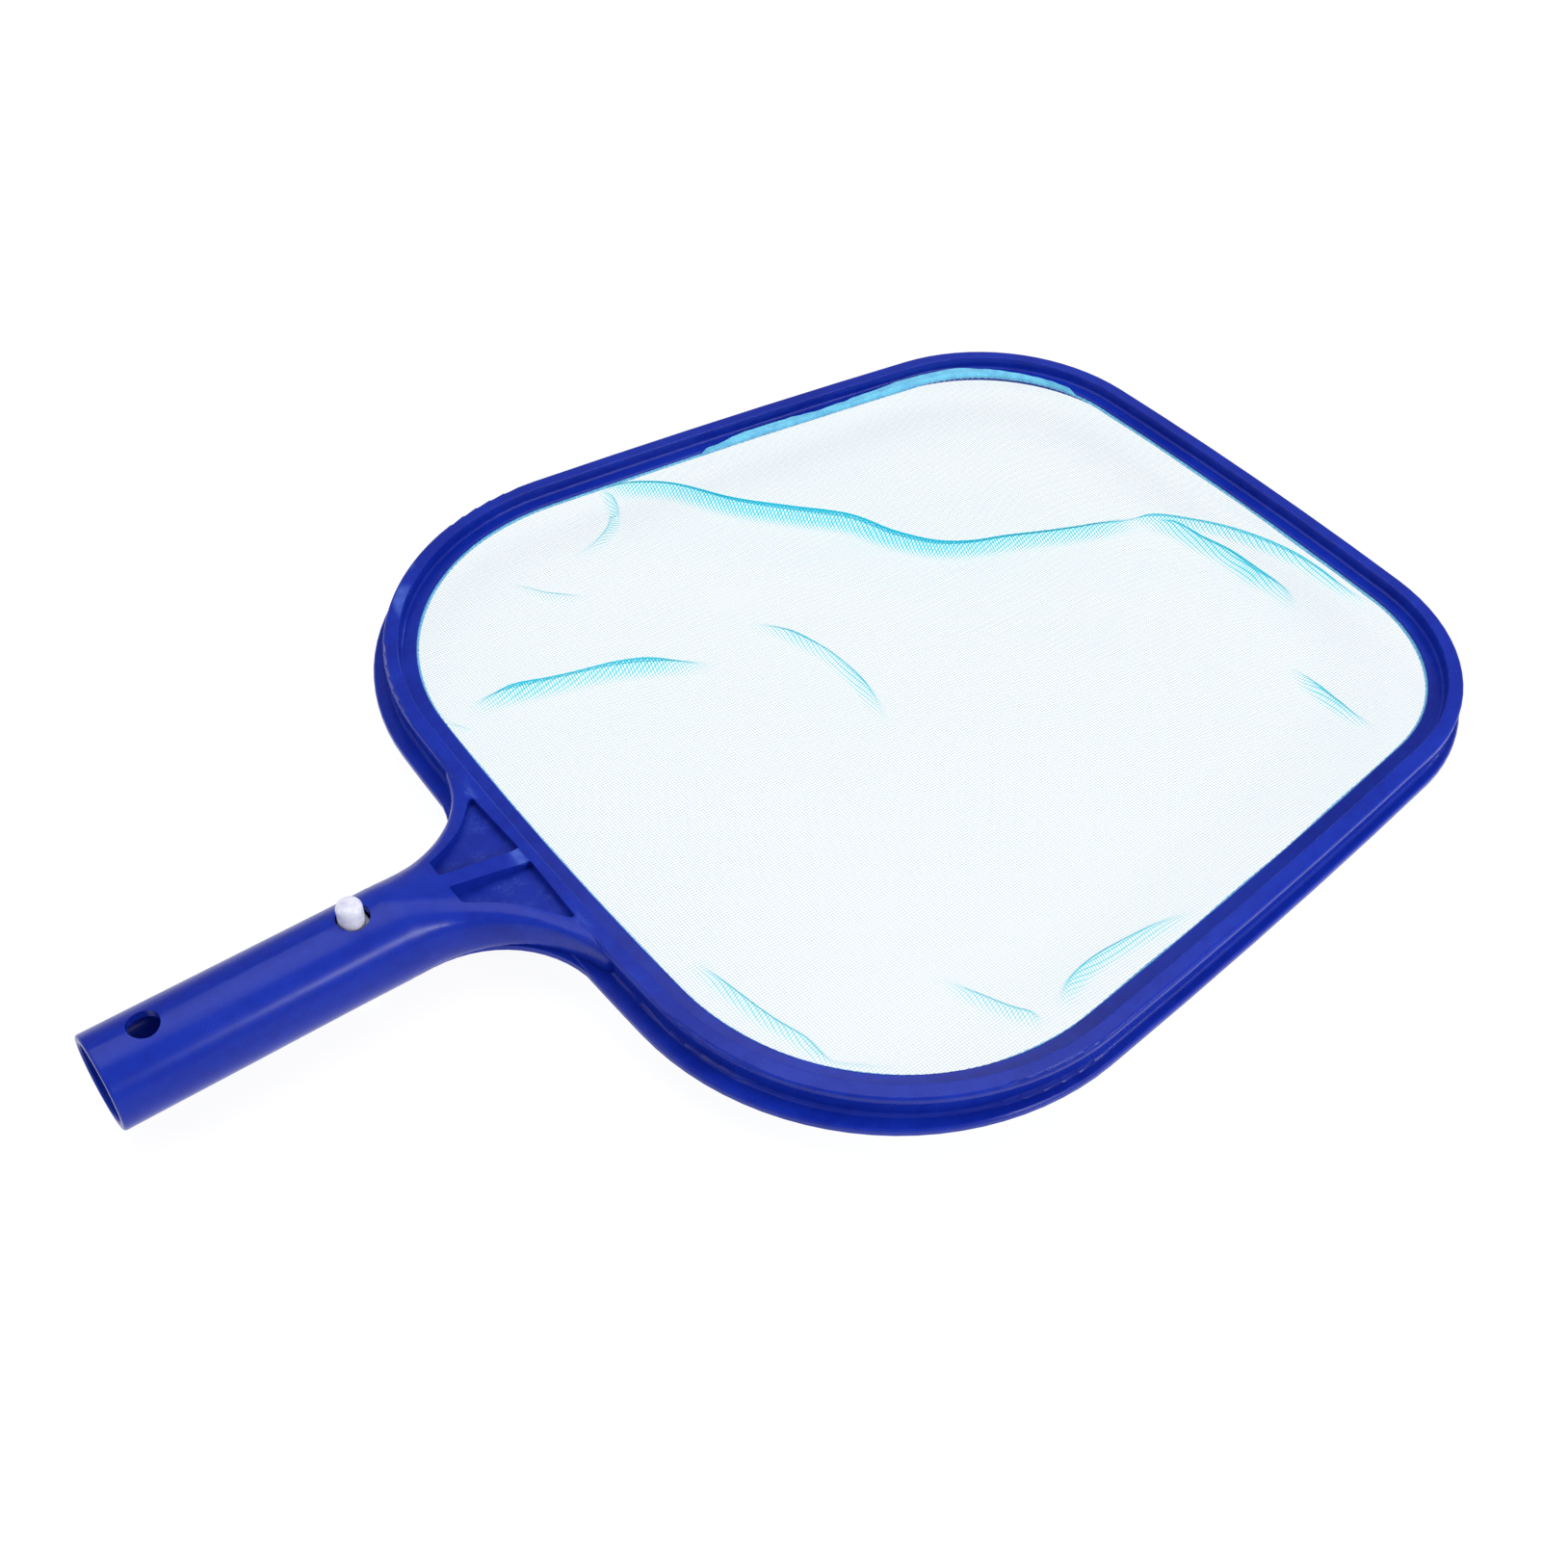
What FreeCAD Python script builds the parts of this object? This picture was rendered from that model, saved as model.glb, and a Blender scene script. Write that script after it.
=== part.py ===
import FreeCAD, Part
import math
import os

os.makedirs("parts", exist_ok=True)

# Leaf skimmer net: a flat moulded hoop with a socket handle, a fine net clamped
# under the hoop's inner ledge, and a sprung two-button clip inside the handle.
# Millimetres. +X runs from the handle's open end to the leading edge of the hoop,
# +Z is up. The origin is under the middle of the bounding box, at the level of
# the lower button's tip. Dimensions below use a working frame whose X origin is
# inside the hoop and whose Z origin is the hoop's underside; put() moves every
# finished solid into the part's own frame.

# --- hoop outline: tangent arcs from the leading edge round to the neck (half) ---
FRONT_X = 150.87            # inner edge of the ledge at the leading edge
ARC_R = [1316.88, 54.05, 2920.4, 75.15]      # leading edge, front corner, side, rear corner
ARC_DEG = [2.865, 78.57, 2.974, 92.739]      # turn of each of them; the neck side closes the loop

# --- hoop section, u measured outward from the ledge's inner edge ---
LEDGE_TOP = 8.2             # height of the rounded inner edge of the ledge
LEDGE_UNDER = 7.3
BAND_IN = 5.5               # raised band, inner and outer edge
BAND_OUT = 10.3
BAND_TOP = 11.6
WEB_OUT = 8.9
FLANGE_OUT = 12.6           # outer flange, mean reach
FLANGE_SHIFT = -2.0         # the flange is wider towards the handle
FLANGE_T = 2.3
SEAT_U = 4.7                # wall that the clamp ring is pressed against

# --- handle ---
HANDLE_R = 14.0             # fits inside a 31.75 mm (1-1/4 in) pole of 28.6 mm bore
NECK_R = 14.15              # draft towards the neck
BORE_R = 11.6
AXIS_H = 7.56               # handle axis above the hoop's underside
END_X = -268.8              # open end
SPIGOT_X = -203.0           # end of the parallel stretch
TUBE_X = -184.0             # where the tube starts to flare
BORE_END_X = -185.2
HOLE_X = -253.6             # cross hole for the pole's own pin
HOLE_R = 4.5
BUTTON_X = -193.7
BUTTON_HOLE_R = 4.8
BUTTON_HOLE_DX = 0.5        # the holes sit a little further along, for the arc the buttons move on

# --- snap clip ---
BUTTON_R = 3.7
BUTTON_UP = 6.0             # how far a button stands out of the handle
CLIP_W = 8.0
CLIP_T = 1.6
PIVOT_X = -240.0
PIVOT_H = 3.2               # leg root above the handle axis
LEG_END_X = -189.3
LEG_END_H = 9.2
ROOT_GAP = 0.3

# --- net and its hem ---
HEM_IN = -0.35
HEM_OUT = 4.3
HEM_Z = (6.5, 7.3)
NET_Z = (6.75, 7.1)

V = FreeCAD.Vector
TIP = AXIS_H - HANDLE_R - BUTTON_UP
NOSE_X = FRONT_X + max(BAND_OUT, FLANGE_OUT + FLANGE_SHIFT)
SHIFT = V(-(END_X + NOSE_X) / 2.0, 0, -TIP)


def outline():
    """Arcs of the whole loop as (centre x, centre y, radius, start deg, end deg), turning left."""
    x, y, head = FRONT_X, 0.0, math.pi / 2
    half = []
    for r, deg in zip(ARC_R, ARC_DEG):
        cx, cy = x - r * math.sin(head), y + r * math.cos(head)
        a0 = head - math.pi / 2
        a1 = a0 + math.radians(deg)
        half.append((cx, cy, r, a0, a1))
        x, y = cx + r * math.cos(a1), cy + r * math.sin(a1)
        head += math.radians(deg)
    r = -y / math.cos(head)                      # last arc's centre lies on the axis
    cx = x - r * math.sin(head)
    rear = (cx, 0.0, r, head - math.pi / 2, 2 * math.pi - (head - math.pi / 2))
    front = half[0]
    arcs = [(front[0], 0.0, front[2], -front[4], front[4])]
    arcs += half[1:]
    arcs.append(rear)
    for cx, cy, r, a0, a1 in reversed(half[1:]):
        arcs.append((cx, -cy, r, 2 * math.pi - a1, 2 * math.pi - a0))
    return arcs


ARCS = outline()
REAR = ARCS[4]
REAR_X = REAR[0] - REAR[2]                       # inner edge of the ledge at the neck


def rounded(points):
    """Closed wire in the XZ plane through (x, z, radius) corners."""
    n = len(points)
    cut = []
    for i, (x, z, r) in enumerate(points):
        p = V(x, 0, z)
        a = V(points[i - 1][0], 0, points[i - 1][1]) - p
        b = V(points[(i + 1) % n][0], 0, points[(i + 1) % n][1]) - p
        a.normalize()
        b.normalize()
        if r <= 0:
            cut.append((p, None, p))
            continue
        ang = math.acos(max(-1.0, min(1.0, a.dot(b))))
        d = r / math.tan(ang / 2)
        mid = (a + b)
        mid.normalize()
        centre = p + mid * (r / math.sin(ang / 2))
        cut.append((p + a * d, centre - mid * r, p + b * d))
    edges = []
    for i in range(n):
        s, m, e = cut[i]
        if m is not None:
            edges.append(Part.Arc(s, m, e).toShape())
        nxt = cut[(i + 1) % n][0]
        if e.distanceToPoint(nxt) > 1e-6:
            edges.append(Part.makeLine(e, nxt))
    return Part.Wire(edges)


def solid_from(faces):
    shell = Part.makeShell(faces)
    shell.sewShape()
    if not isinstance(shell, Part.Shell):
        shell = Part.makeShell(shell.Faces)
    s = Part.makeSolid(shell)
    if s.Volume < 0:
        s.reverse()
    return s


def ring(points):
    """Sweep a (u, z, radius) section round the hoop outline."""
    faces = []
    for cx, cy, r, a0, a1 in ARCS:
        w = rounded([(r + u, z, f) for u, z, f in points])
        w.rotate(V(0, 0, 0), V(0, 0, 1), math.degrees(a0))
        w.translate(V(cx, cy, 0))
        sh = w.revolve(V(cx, cy, 0), V(0, 0, 1), math.degrees(a1 - a0))
        faces += sh.Faces
    return solid_from(faces)


def loop_wire(off, z=0.0):
    edges = []
    for cx, cy, r, a0, a1 in ARCS:
        rr = r + off
        am = (a0 + a1) / 2
        p = [V(cx + rr * math.cos(a), cy + rr * math.sin(a), z) for a in (a0, am, a1)]
        edges.append(Part.Arc(*p).toShape())
    return Part.Wire(edges)


def disc(off, z0, z1):
    return Part.Face(loop_wire(off, z0)).extrude(V(0, 0, z1 - z0))


def put(shape, name):
    if isinstance(shape, Part.Compound) and len(shape.Solids) == 1:
        shape = shape.Solids[0]
    shape = shape.copy()
    shape.translate(SHIFT)
    if not shape.isValid():
        shape.fix(1e-4, 1e-4, 1e-3)
    bb = shape.BoundBox
    print("%-22s solids %d valid %s volume %.1f box %.2f %.2f %.2f .. %.2f %.2f %.2f" % (
        name, len(shape.Solids), shape.isValid(), shape.Volume, bb.XMin, bb.YMin, bb.ZMin, bb.XMax, bb.YMax, bb.ZMax))
    shape.exportStep("parts/%s.step" % name)
    return shape


def lerp(table, x):
    """Smooth cubic (Catmull-Rom) reading of a table of (x, value) rows."""
    xs = [p[0] for p in table]
    ys = [p[1] for p in table]
    if x <= xs[0]:
        return ys[0]
    if x >= xs[-1]:
        return ys[-1]
    i = max(k for k in range(len(xs) - 1) if xs[k] <= x)
    h = xs[i + 1] - xs[i]
    m = []
    for k in (i, i + 1):
        if k == 0:
            m.append(0.0)
        elif k == len(xs) - 1:
            m.append((ys[-1] - ys[-2]) / (xs[-1] - xs[-2]))
        else:
            m.append((ys[k + 1] - ys[k - 1]) / (xs[k + 1] - xs[k - 1]))
    t = (x - xs[i]) / h
    return ((2 * t ** 3 - 3 * t ** 2 + 1) * ys[i] + (t ** 3 - 2 * t ** 2 + t) * h * m[0]
            + (-2 * t ** 3 + 3 * t ** 2) * ys[i + 1] + (t ** 3 - t ** 2) * h * m[1])


# ------------------------------------------------------------------ frame moulding
frame_section = [
    (0.0, LEDGE_UNDER, 0.3),
    (0.0, LEDGE_TOP, 0.55),
    (5.0, LEDGE_TOP - 0.6, 0.8),
    (BAND_IN, BAND_TOP, 0.35),
    (BAND_OUT, BAND_TOP - 0.15, 1.0),
    (BAND_OUT - 0.15, 8.9, 0.8),
    (WEB_OUT, 7.6, 0.8),
    (WEB_OUT, FLANGE_T, 1.2),
    (17.0, FLANGE_T, 0),
    (17.0, 0.0, 0),
    (7.55, 0.0, 0.25),
    (7.45, 6.4, 0.4),
    (6.15, 6.4, 0.4),
    (6.05, 3.0, 0.25),
    (SEAT_U, 3.0, 0.3),
    (SEAT_U, 5.3, 0),
    (SEAT_U + 0.3, 5.7, 0),
    (SEAT_U, 6.1, 0),
    (SEAT_U, LEDGE_UNDER, 0.2),
]
hoop = ring(frame_section)

# the flange is trimmed to an outline of its own, with a rounded upper edge
trim = ring([(FLANGE_OUT, -2.0, 0), (FLANGE_OUT, FLANGE_T - 0.9, 0), (FLANGE_OUT - 0.15, FLANGE_T - 0.4, 0), (FLANGE_OUT - 0.6, FLANGE_T + 0.06, 0),
             (FLANGE_OUT - 0.6, FLANGE_T + 2.0, 0), (30.0, FLANGE_T + 2.0, 0), (30.0, -2.0, 0)])
trim.translate(V(FLANGE_SHIFT, 0, 0))
hoop = hoop.cut(trim)

# neck: flange plate with concave sides, tangent to the hoop and running into the tube
RHO_F = 33.0
PLATE_T = 1.9
HALF_F = 12.0


def concave(rear_r, rear_cx, rho, half):
    cy = half + rho
    cx = rear_cx - math.sqrt((rear_r + rho) ** 2 - cy ** 2)
    k = rear_r / (rear_r + rho)
    return cx, cy, (rear_cx + (cx - rear_cx) * k, cy * k)


fx, fy, ft = concave(REAR[2] + FLANGE_OUT - 0.3, REAR[0] + FLANGE_SHIFT, RHO_F, HALF_F)


def arc_pts(cx, cy, r, p0, p1):
    a0 = math.atan2(p0[1] - cy, p0[0] - cx)
    a1 = math.atan2(p1[1] - cy, p1[0] - cx)
    am = (a0 + a1) / 2
    return V(p0[0], p0[1], 0), V(cx + r * math.cos(am), cy + r * math.sin(am), 0), V(p1[0], p1[1], 0)


a = arc_pts(fx, fy, RHO_F, ft, (fx, HALF_F))
b = [V(p.x, -p.y, 0) for p in a]
inner_x = REAR_X - 8.2
plate = Part.Face(Part.Wire([
    Part.Arc(*a).toShape(), Part.makeLine(a[2], b[2]), Part.Arc(b[2], b[1], b[0]).toShape(),
    Part.makeLine(b[0], V(inner_x, b[0].y, 0)), Part.makeLine(V(inner_x, b[0].y, 0), V(inner_x, a[0].y, 0)),
    Part.makeLine(V(inner_x, a[0].y, 0), a[0])])).extrude(V(0, 0, PLATE_T))

# neck: body that changes from the round tube into the raised band
RHO_U = 36.0
ux, uy, ut = concave(REAR[2] + BAND_OUT, REAR[0], RHO_U, NECK_R)
TOP = [(-184.0, AXIS_H + NECK_R), (-180.0, 21.2), (-175.0, 20.0), (-170.0, 18.5), (-166.0, 17.3), (-160.0, 15.9),
       (-155.0, 14.8), (-150.0, 13.6), (-146.0, 12.6), (-142.8, 11.9), (-139.0, 11.4)]
LOW = [(-184.0, AXIS_H - NECK_R), (-180.0, -6.2), (-175.0, -5.1), (-170.0, -3.8), (-166.0, -2.8), (-160.0, -1.5),
       (-155.0, -0.8), (-150.0, -0.4), (-146.0, -0.25), (-139.0, -0.25)]
STEP = 0.08                 # the tube stands this much proud of the neck where they meet
EXP = [(-184.0, 2.0), (-180.0, 2.05), (-175.0, 2.25), (-170.0, 2.6), (-166.0, 3.0), (-160.0, 3.6), (-155.0, 4.2), (-146.0, 5.2), (-139.5, 5.6)]


def neck_wire(x, inset=0.0):
    zt, zb, n = lerp(TOP, x) - inset, lerp(LOW, x) + inset, lerp(EXP, x)
    d = x - ux
    w = NECK_R if d <= 0 else uy - math.sqrt(max(RHO_U ** 2 - d * d, 30.0))
    w = min(w, 45.0) - inset
    zc, h = (zt + zb) / 2, (zt - zb) / 2
    m = 48
    pts = []
    for i in range(m):
        t = 2 * math.pi * i / m
        c, s = math.cos(t), math.sin(t)
        # walk the superellipse by a blended angle so that the corners get enough points
        pts.append(V(x, w * math.copysign(abs(c) ** (2 / n), c), zc + h * math.copysign(abs(s) ** (2 / n), s)))
    curve = Part.BSplineCurve()
    curve.interpolate(Points=pts, PeriodicFlag=True)
    return Part.Wire([curve.toShape()])


stations = [-182.0, -178.0, -174.0, -170.0, -166.0, -162.0, -158.0, -154.5, -151.5, -149.0, -146.8, -145.0, -143.4, -141.6, -139.0]
neck = Part.makeLoft([neck_wire(TUBE_X, STEP)] + [neck_wire(x) for x in stations], True, False)

# handle tube, with a softly rounded mouth
tube_pts = [(END_X, 0, 0), (END_X, HANDLE_R, 0.8), (SPIGOT_X, HANDLE_R, 0), (TUBE_X, NECK_R, 0), (TUBE_X, 0, 0)]
tube = Part.Face(rounded([(x, r, f) for x, r, f in tube_pts])).revolve(V(0, 0, 0), V(1, 0, 0), 360)
tube.translate(V(0, 0, AXIS_H))

bore_pts = [(END_X - 2.0, 0, 0), (END_X - 2.0, BORE_R + 2.5, 0), (END_X, BORE_R + 0.5, 0), (END_X + 0.5, BORE_R, 0),
            (BORE_END_X - 1.5, BORE_R, 0), (BORE_END_X, BORE_R - 1.5, 0), (BORE_END_X, 0, 0)]
bore = Part.Face(rounded(bore_pts)).revolve(V(0, 0, 0), V(1, 0, 0), 360)
bore.translate(V(0, 0, AXIS_H))

# pockets in the neck's top face, either side of the centre rib
POCKET = [(-139.7, 2.9), (-140.5, 29.0), (-144.6, 24.4), (-149.2, 19.2), (-154.0, 15.1), (-159.0, 12.1), (-165.0, 9.0), (-165.6, 2.5)]


def pocket(sign):
    pts = [V(x, sign * y, 0) for x, y in POCKET]
    curve = Part.BSplineCurve()
    curve.interpolate(pts[1:7])
    edges = [Part.makeLine(pts[0], pts[1]), curve.toShape(), Part.makeLine(pts[6], pts[7]), Part.makeLine(pts[7], pts[0])]
    s = Part.Face(Part.Wire(edges)).extrude(V(0, 0, 30))
    upright = [e for e in s.Edges if e.BoundBox.ZLength > 20]
    s = s.makeFillet(0.9, upright)
    # floor slopes up towards the tube
    floor = Part.Face(Part.makePolygon([V(-175, -40, -20), V(-130, -40, -20), V(-130, -40, 7.6), V(-175, -40, 12.9), V(-175, -40, -20)])).extrude(V(0, 80, 0))
    return s.cut(floor)


# the handle and neck are finished first, then joined to the hoop
body = neck.fuse(tube).cut(bore).cut([pocket(1), pocket(-1)])
body = body.cut([Part.makeCylinder(HOLE_R, 60, V(HOLE_X, 0, -25), V(0, 0, 1)),
                 Part.makeCylinder(BUTTON_HOLE_R, 60, V(BUTTON_X + BUTTON_HOLE_DX, 0, -25), V(0, 0, 1))])

# low ribs just inside the mouth
ribs = []
for deg in (0, 50, 130, 180, 230, 310):
    rib = Part.makeBox(9.0, 1.2, 0.9, V(END_X + 2.0, -0.6, BORE_R - 0.7))
    rib.rotate(V(0, 0, 0), V(1, 0, 0), deg + 90)
    rib.translate(V(0, 0, AXIS_H))
    ribs.append(rib)
body = body.fuse(ribs)
frame = hoop.cut([pocket(1), pocket(-1)]).fuse(body).fuse(plate)
print("hoop %.1f body %.1f frame %.1f" % (hoop.Volume, body.Volume, frame.Volume))
try:
    frame = frame.removeSplitter()
except Exception as err:
    print("splitter kept:", err)
put(frame, "frame_moulding")

# ------------------------------------------------------------------ net clamp ring
clamp_ring = ring([
    (2.1, 4.7, 0.5), (2.1, HEM_Z[0], 0.3), (SEAT_U, HEM_Z[0], 0), (SEAT_U, 6.1, 0), (SEAT_U + 0.3, 5.7, 0),
    (SEAT_U, 5.3, 0), (SEAT_U, 4.7, 0.2)])
put(clamp_ring, "net_clamp_ring")

# ------------------------------------------------------------------ hem and net
hem = ring([(HEM_IN, HEM_Z[0], 0.25), (HEM_IN, HEM_Z[1], 0.25), (HEM_OUT, HEM_Z[1], 0.2), (HEM_OUT, HEM_Z[0], 0.2)])
put(hem, "net_hem_tape")
put(disc(HEM_IN, NET_Z[0], NET_Z[1]), "net_panel")

# ------------------------------------------------------------------ snap clip
def strip(x0, z0, x1, z1, t, w):
    """Flat strip of thickness t and width w from a round root to a round tip."""
    a = math.atan2(z1 - z0, x1 - x0)
    n = V(-math.sin(a), 0, math.cos(a)) * (t / 2)
    d = V(math.cos(a), 0, math.sin(a)) * (t / 2)
    p0, p1 = V(x0, -w / 2, z0), V(x1, -w / 2, z1)
    wire = Part.Wire([
        Part.makeLine(p0 + n, p1 + n), Part.Arc(p1 + n, p1 + d, p1 - n).toShape(),
        Part.makeLine(p1 - n, p0 - n), Part.Arc(p0 - n, p0 - d, p0 + n).toShape()])
    return Part.Face(wire).extrude(V(0, w, 0))


leg = strip(PIVOT_X, PIVOT_H, LEG_END_X, LEG_END_H, CLIP_T, CLIP_W)
tip_h = HANDLE_R + BUTTON_UP
button = Part.Face(rounded([(0, 8.4, 0), (BUTTON_R, 8.4, 0), (BUTTON_R, tip_h - 0.5, 2.0), (0.6, tip_h, 0), (0, tip_h, 0)]))
button = button.revolve(V(0, 0, 0), V(0, 0, 1), 360)
button.translate(V(BUTTON_X, 0, 0))
upper = leg.fuse(button).removeSplitter()
lower = upper.mirror(V(0, 0, 0), V(0, 0, 1))
upper.translate(V(0, 0, AXIS_H))
lower.translate(V(0, 0, AXIS_H))
put(upper, "clip_leg_upper")
put(lower, "clip_leg_lower")

bx = PIVOT_X - CLIP_T / 2 - ROOT_GAP
ro, ri = PIVOT_H + CLIP_T / 2, PIVOT_H - CLIP_T / 2
bend = Part.makeCylinder(ro, CLIP_W, V(bx, -CLIP_W / 2, AXIS_H), V(0, 1, 0))
bend = bend.cut(Part.makeCylinder(ri, CLIP_W + 2, V(bx, -CLIP_W / 2 - 1, AXIS_H), V(0, 1, 0)))
bend = bend.cut(Part.makeBox(20, CLIP_W + 4, 20, V(bx, -CLIP_W / 2 - 2, AXIS_H - 10)))
put(bend, "clip_bend")
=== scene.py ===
import bpy
import math
import numpy as np
from mathutils import Vector, Matrix


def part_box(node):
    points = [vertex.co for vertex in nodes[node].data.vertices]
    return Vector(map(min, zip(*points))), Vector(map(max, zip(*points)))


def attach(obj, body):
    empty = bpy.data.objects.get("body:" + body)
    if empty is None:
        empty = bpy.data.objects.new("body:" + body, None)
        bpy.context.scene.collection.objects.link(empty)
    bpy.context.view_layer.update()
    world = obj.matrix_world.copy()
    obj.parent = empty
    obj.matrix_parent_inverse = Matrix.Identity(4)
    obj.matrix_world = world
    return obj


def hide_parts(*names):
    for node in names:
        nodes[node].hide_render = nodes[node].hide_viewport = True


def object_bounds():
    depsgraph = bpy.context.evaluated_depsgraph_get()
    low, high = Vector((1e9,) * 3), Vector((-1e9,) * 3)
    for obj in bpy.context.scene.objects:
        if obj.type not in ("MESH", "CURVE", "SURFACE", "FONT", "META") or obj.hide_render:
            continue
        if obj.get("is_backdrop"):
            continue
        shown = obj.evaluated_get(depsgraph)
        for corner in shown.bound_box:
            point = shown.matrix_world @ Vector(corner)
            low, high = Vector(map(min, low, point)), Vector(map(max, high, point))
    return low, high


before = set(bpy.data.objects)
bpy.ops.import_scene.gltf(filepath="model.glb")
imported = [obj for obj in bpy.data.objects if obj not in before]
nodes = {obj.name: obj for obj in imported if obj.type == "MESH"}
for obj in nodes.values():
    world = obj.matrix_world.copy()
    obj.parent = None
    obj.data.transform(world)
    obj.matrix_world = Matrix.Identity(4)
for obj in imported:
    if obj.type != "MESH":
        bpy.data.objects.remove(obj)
cad_lo, cad_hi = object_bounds()
scene = bpy.context.scene
MM = 0.001

# ------------------------------------------------------------------ camera
AZ, EL, ROLL, DIST, LENS = math.radians(-38.3095), math.radians(46.4042), math.radians(1.7611), 0.593916, 44.797
# it looks at a point a little off the middle of the object's box, at the level of the hoop's underside
hoop_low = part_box("net_clamp_ring")[0].z - 4.7 * MM
aim = Vector(((cad_lo.x + cad_hi.x) / 2 - 2.663 * MM, (cad_lo.y + cad_hi.y) / 2 - 12.77 * MM, hoop_low))
back = Vector((math.sin(AZ) * math.cos(EL), -math.cos(AZ) * math.cos(EL), math.sin(EL)))
right = Vector((math.cos(AZ), math.sin(AZ), 0))
up = back.cross(right)
rr = math.cos(ROLL) * right + math.sin(ROLL) * up
uu = -math.sin(ROLL) * right + math.cos(ROLL) * up
cam_data = bpy.data.cameras.new("camera")
cam_data.sensor_width = 36.0
cam_data.lens = LENS
cam_data.clip_start, cam_data.clip_end = 0.01, 30
cam = bpy.data.objects.new("camera", cam_data)
scene.collection.objects.link(cam)
cam.matrix_world = Matrix.Translation(aim + back * DIST) @ Matrix((rr, uu, back)).transposed().to_4x4()
scene.camera = cam

# ------------------------------------------------------------------ helpers for materials


class Mat:
    """A node material with small helpers. Coordinates are the row frame, in metres."""

    def __init__(self, name):
        self.m = bpy.data.materials.new(name)
        self.m.use_nodes = True
        self.nt = self.m.node_tree
        self.nt.nodes.clear()
        self.out = self.node("ShaderNodeOutputMaterial")
        self.coord = self.node("ShaderNodeTexCoord").outputs["Object"]

    def node(self, kind, **kw):
        n = self.nt.nodes.new(kind)
        for k, v in kw.items():
            setattr(n, k, v)
        return n

    def link(self, a, b):
        self.nt.links.new(a, b)

    def put(self, socket, value):
        if isinstance(value, bpy.types.NodeSocket):
            self.link(value, socket)
        else:
            socket.default_value = value

    def math(self, op, a, b=None, c=None, clamp=False):
        n = self.node("ShaderNodeMath", operation=op, use_clamp=clamp)
        self.put(n.inputs[0], a)
        if b is not None:
            self.put(n.inputs[1], b)
        if c is not None:
            self.put(n.inputs[2], c)
        return n.outputs[0]

    def noise(self, scale, detail=3.0, rough=0.5, stretch=None, dist=0.0, shift=0.0):
        n = self.node("ShaderNodeTexNoise")
        v = self.coord
        if stretch is not None or shift:
            mp = self.node("ShaderNodeMapping")
            self.link(v, mp.inputs["Vector"])
            mp.inputs["Scale"].default_value = stretch or (1, 1, 1)
            mp.inputs["Location"].default_value = (shift, shift * 0.7, shift * 0.3)
            v = mp.outputs[0]
        self.link(v, n.inputs["Vector"])
        n.inputs["Scale"].default_value = scale
        n.inputs["Detail"].default_value = detail
        n.inputs["Roughness"].default_value = rough
        n.inputs["Distortion"].default_value = dist
        return n.outputs["Fac"]

    def span(self, value, a, b, lo, hi, smooth=False):
        n = self.node("ShaderNodeMapRange", interpolation_type="SMOOTHSTEP" if smooth else "LINEAR")
        self.put(n.inputs["Value"], value)
        for k, v in zip(("From Min", "From Max", "To Min", "To Max"), (a, b, lo, hi)):
            n.inputs[k].default_value = v
        return n.outputs[0]

    def mix(self, fac, a, b):
        n = self.node("ShaderNodeMix", data_type="RGBA")
        self.put(n.inputs[0], fac)
        for s, v in ((n.inputs[6], a), (n.inputs[7], b)):
            self.put(s, v if isinstance(v, bpy.types.NodeSocket) else (*v, 1.0))
        return n.outputs[2]

    def bump(self, height, strength, distance, normal=None):
        n = self.node("ShaderNodeBump")
        n.inputs["Strength"].default_value = strength
        n.inputs["Distance"].default_value = distance
        self.link(height, n.inputs["Height"])
        if normal is not None:
            self.link(normal, n.inputs["Normal"])
        return n.outputs[0]

    def xyz(self):
        n = self.node("ShaderNodeSeparateXYZ")
        self.link(self.coord, n.inputs[0])
        return n.outputs


def srgb(r, g, b):
    f = lambda c: c / 12.92 if c <= 0.04045 else ((c + 0.055) / 1.055) ** 2.4
    return f(r / 255), f(g / 255), f(b / 255)


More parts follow.
